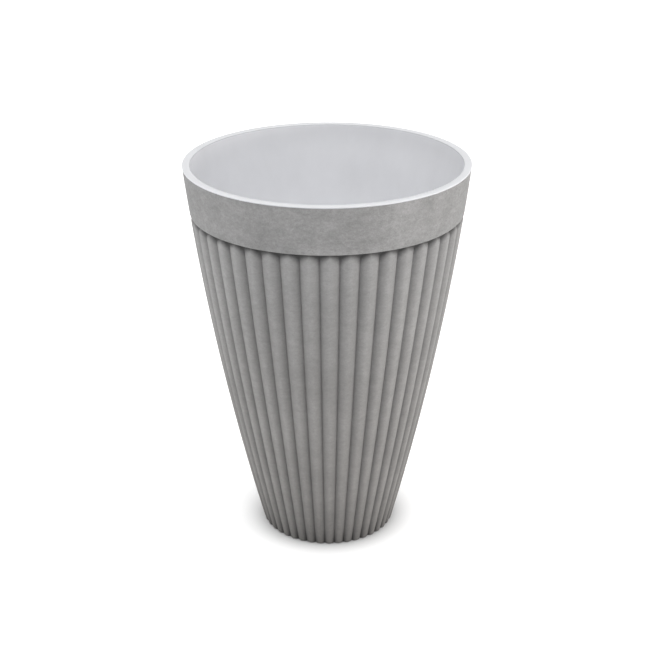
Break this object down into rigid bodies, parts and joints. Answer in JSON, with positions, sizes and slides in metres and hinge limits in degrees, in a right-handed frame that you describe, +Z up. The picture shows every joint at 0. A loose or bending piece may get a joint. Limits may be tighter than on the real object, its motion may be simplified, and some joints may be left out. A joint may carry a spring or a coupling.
{
  "type": "self watering planter",
  "caption": "Tall tapered round planter with a reeded stone-look outer pot and a lift-out liner holding a reservoir, wick cups, fill tube and float gauge.",
  "frame": {"origin": "floor level at the centre of the base", "axes": "+Z up along the pot's axis; the fill tube and the level gauge stand on the -Y side, which is the front"},
  "size_m": [0.3999, 0.4, 0.56],
  "materials": {
    "stone_shell": "matte stone effect, mottled grey",
    "liner_plastic": "satin",
    "dark_plastic": "fine moulded grain",
    "tube_plastic": "satin",
    "cap_plastic": "semi-gloss",
    "clear_plastic": "clear, polished",
    "white_plastic": "satin",
    "red_plastic": "semi-gloss",
    "black_rubber": "matte",
    "pin_steel": "drawn wire"
  },
  "bodies": {
    "pot": {"outer_pot": "stone_shell", "foot_pad_1": "black_rubber", "foot_pad_2": "black_rubber", "foot_pad_3": "black_rubber", "foot_pad_4": "black_rubber", "drain_grommet": "black_rubber"},
    "plug": {"base_plug": "black_rubber"},
    "liner_set": {"liner": "liner_plastic", "overflow_pipe": "tube_plastic", "pipe_gasket": "black_rubber", "pipe_nut": "tube_plastic"},
    "stopper": {"pipe_stopper": "red_plastic"},
    "separator_set": {"separator_plate": "dark_plastic", "wick_cup_1": "dark_plastic", "wick_cup_2": "dark_plastic", "wick_cup_3": "dark_plastic", "wick_cup_4": "dark_plastic", "fill_tube": "tube_plastic", "fill_collar": "dark_plastic", "cap_hinge_pin": "pin_steel", "gauge_tube": "tube_plastic", "gauge_foot": "dark_plastic", "sight_dome": "clear_plastic"},
    "cap": {"fill_cap": "cap_plastic"},
    "level_float": {"float_body": "white_plastic", "float_rod": "white_plastic", "level_tip": "red_plastic"}
  },
  "joints": [
    {"name": "plug_lift", "type": "slide", "parent": "pot", "child": "plug", "axis": [0, 0, 1], "range_m": [0, 0.05]},
    {"name": "liner_lift", "type": "slide", "parent": "pot", "child": "liner_set", "axis": [0, 0, 1], "range_m": [0, 0.33]},
    {"name": "stopper_lift", "type": "slide", "parent": "liner_set", "child": "stopper", "axis": [0, 0, 1], "range_m": [0, 0.009]},
    {"name": "separator_lift", "type": "slide", "parent": "liner_set", "child": "separator_set", "axis": [0, 0, 1], "range_m": [0, 0.31]},
    {"name": "cap_hinge", "type": "hinge", "parent": "separator_set", "child": "cap", "pos_m": [-0.02903, -0.13844, 0.5165], "axis": [1, 0, 0], "range_deg": [0, 110]},
    {"name": "float_rise", "type": "slide", "parent": "separator_set", "child": "level_float", "axis": [0, 0, 1], "range_m": [0, 0.026]}
  ]
}
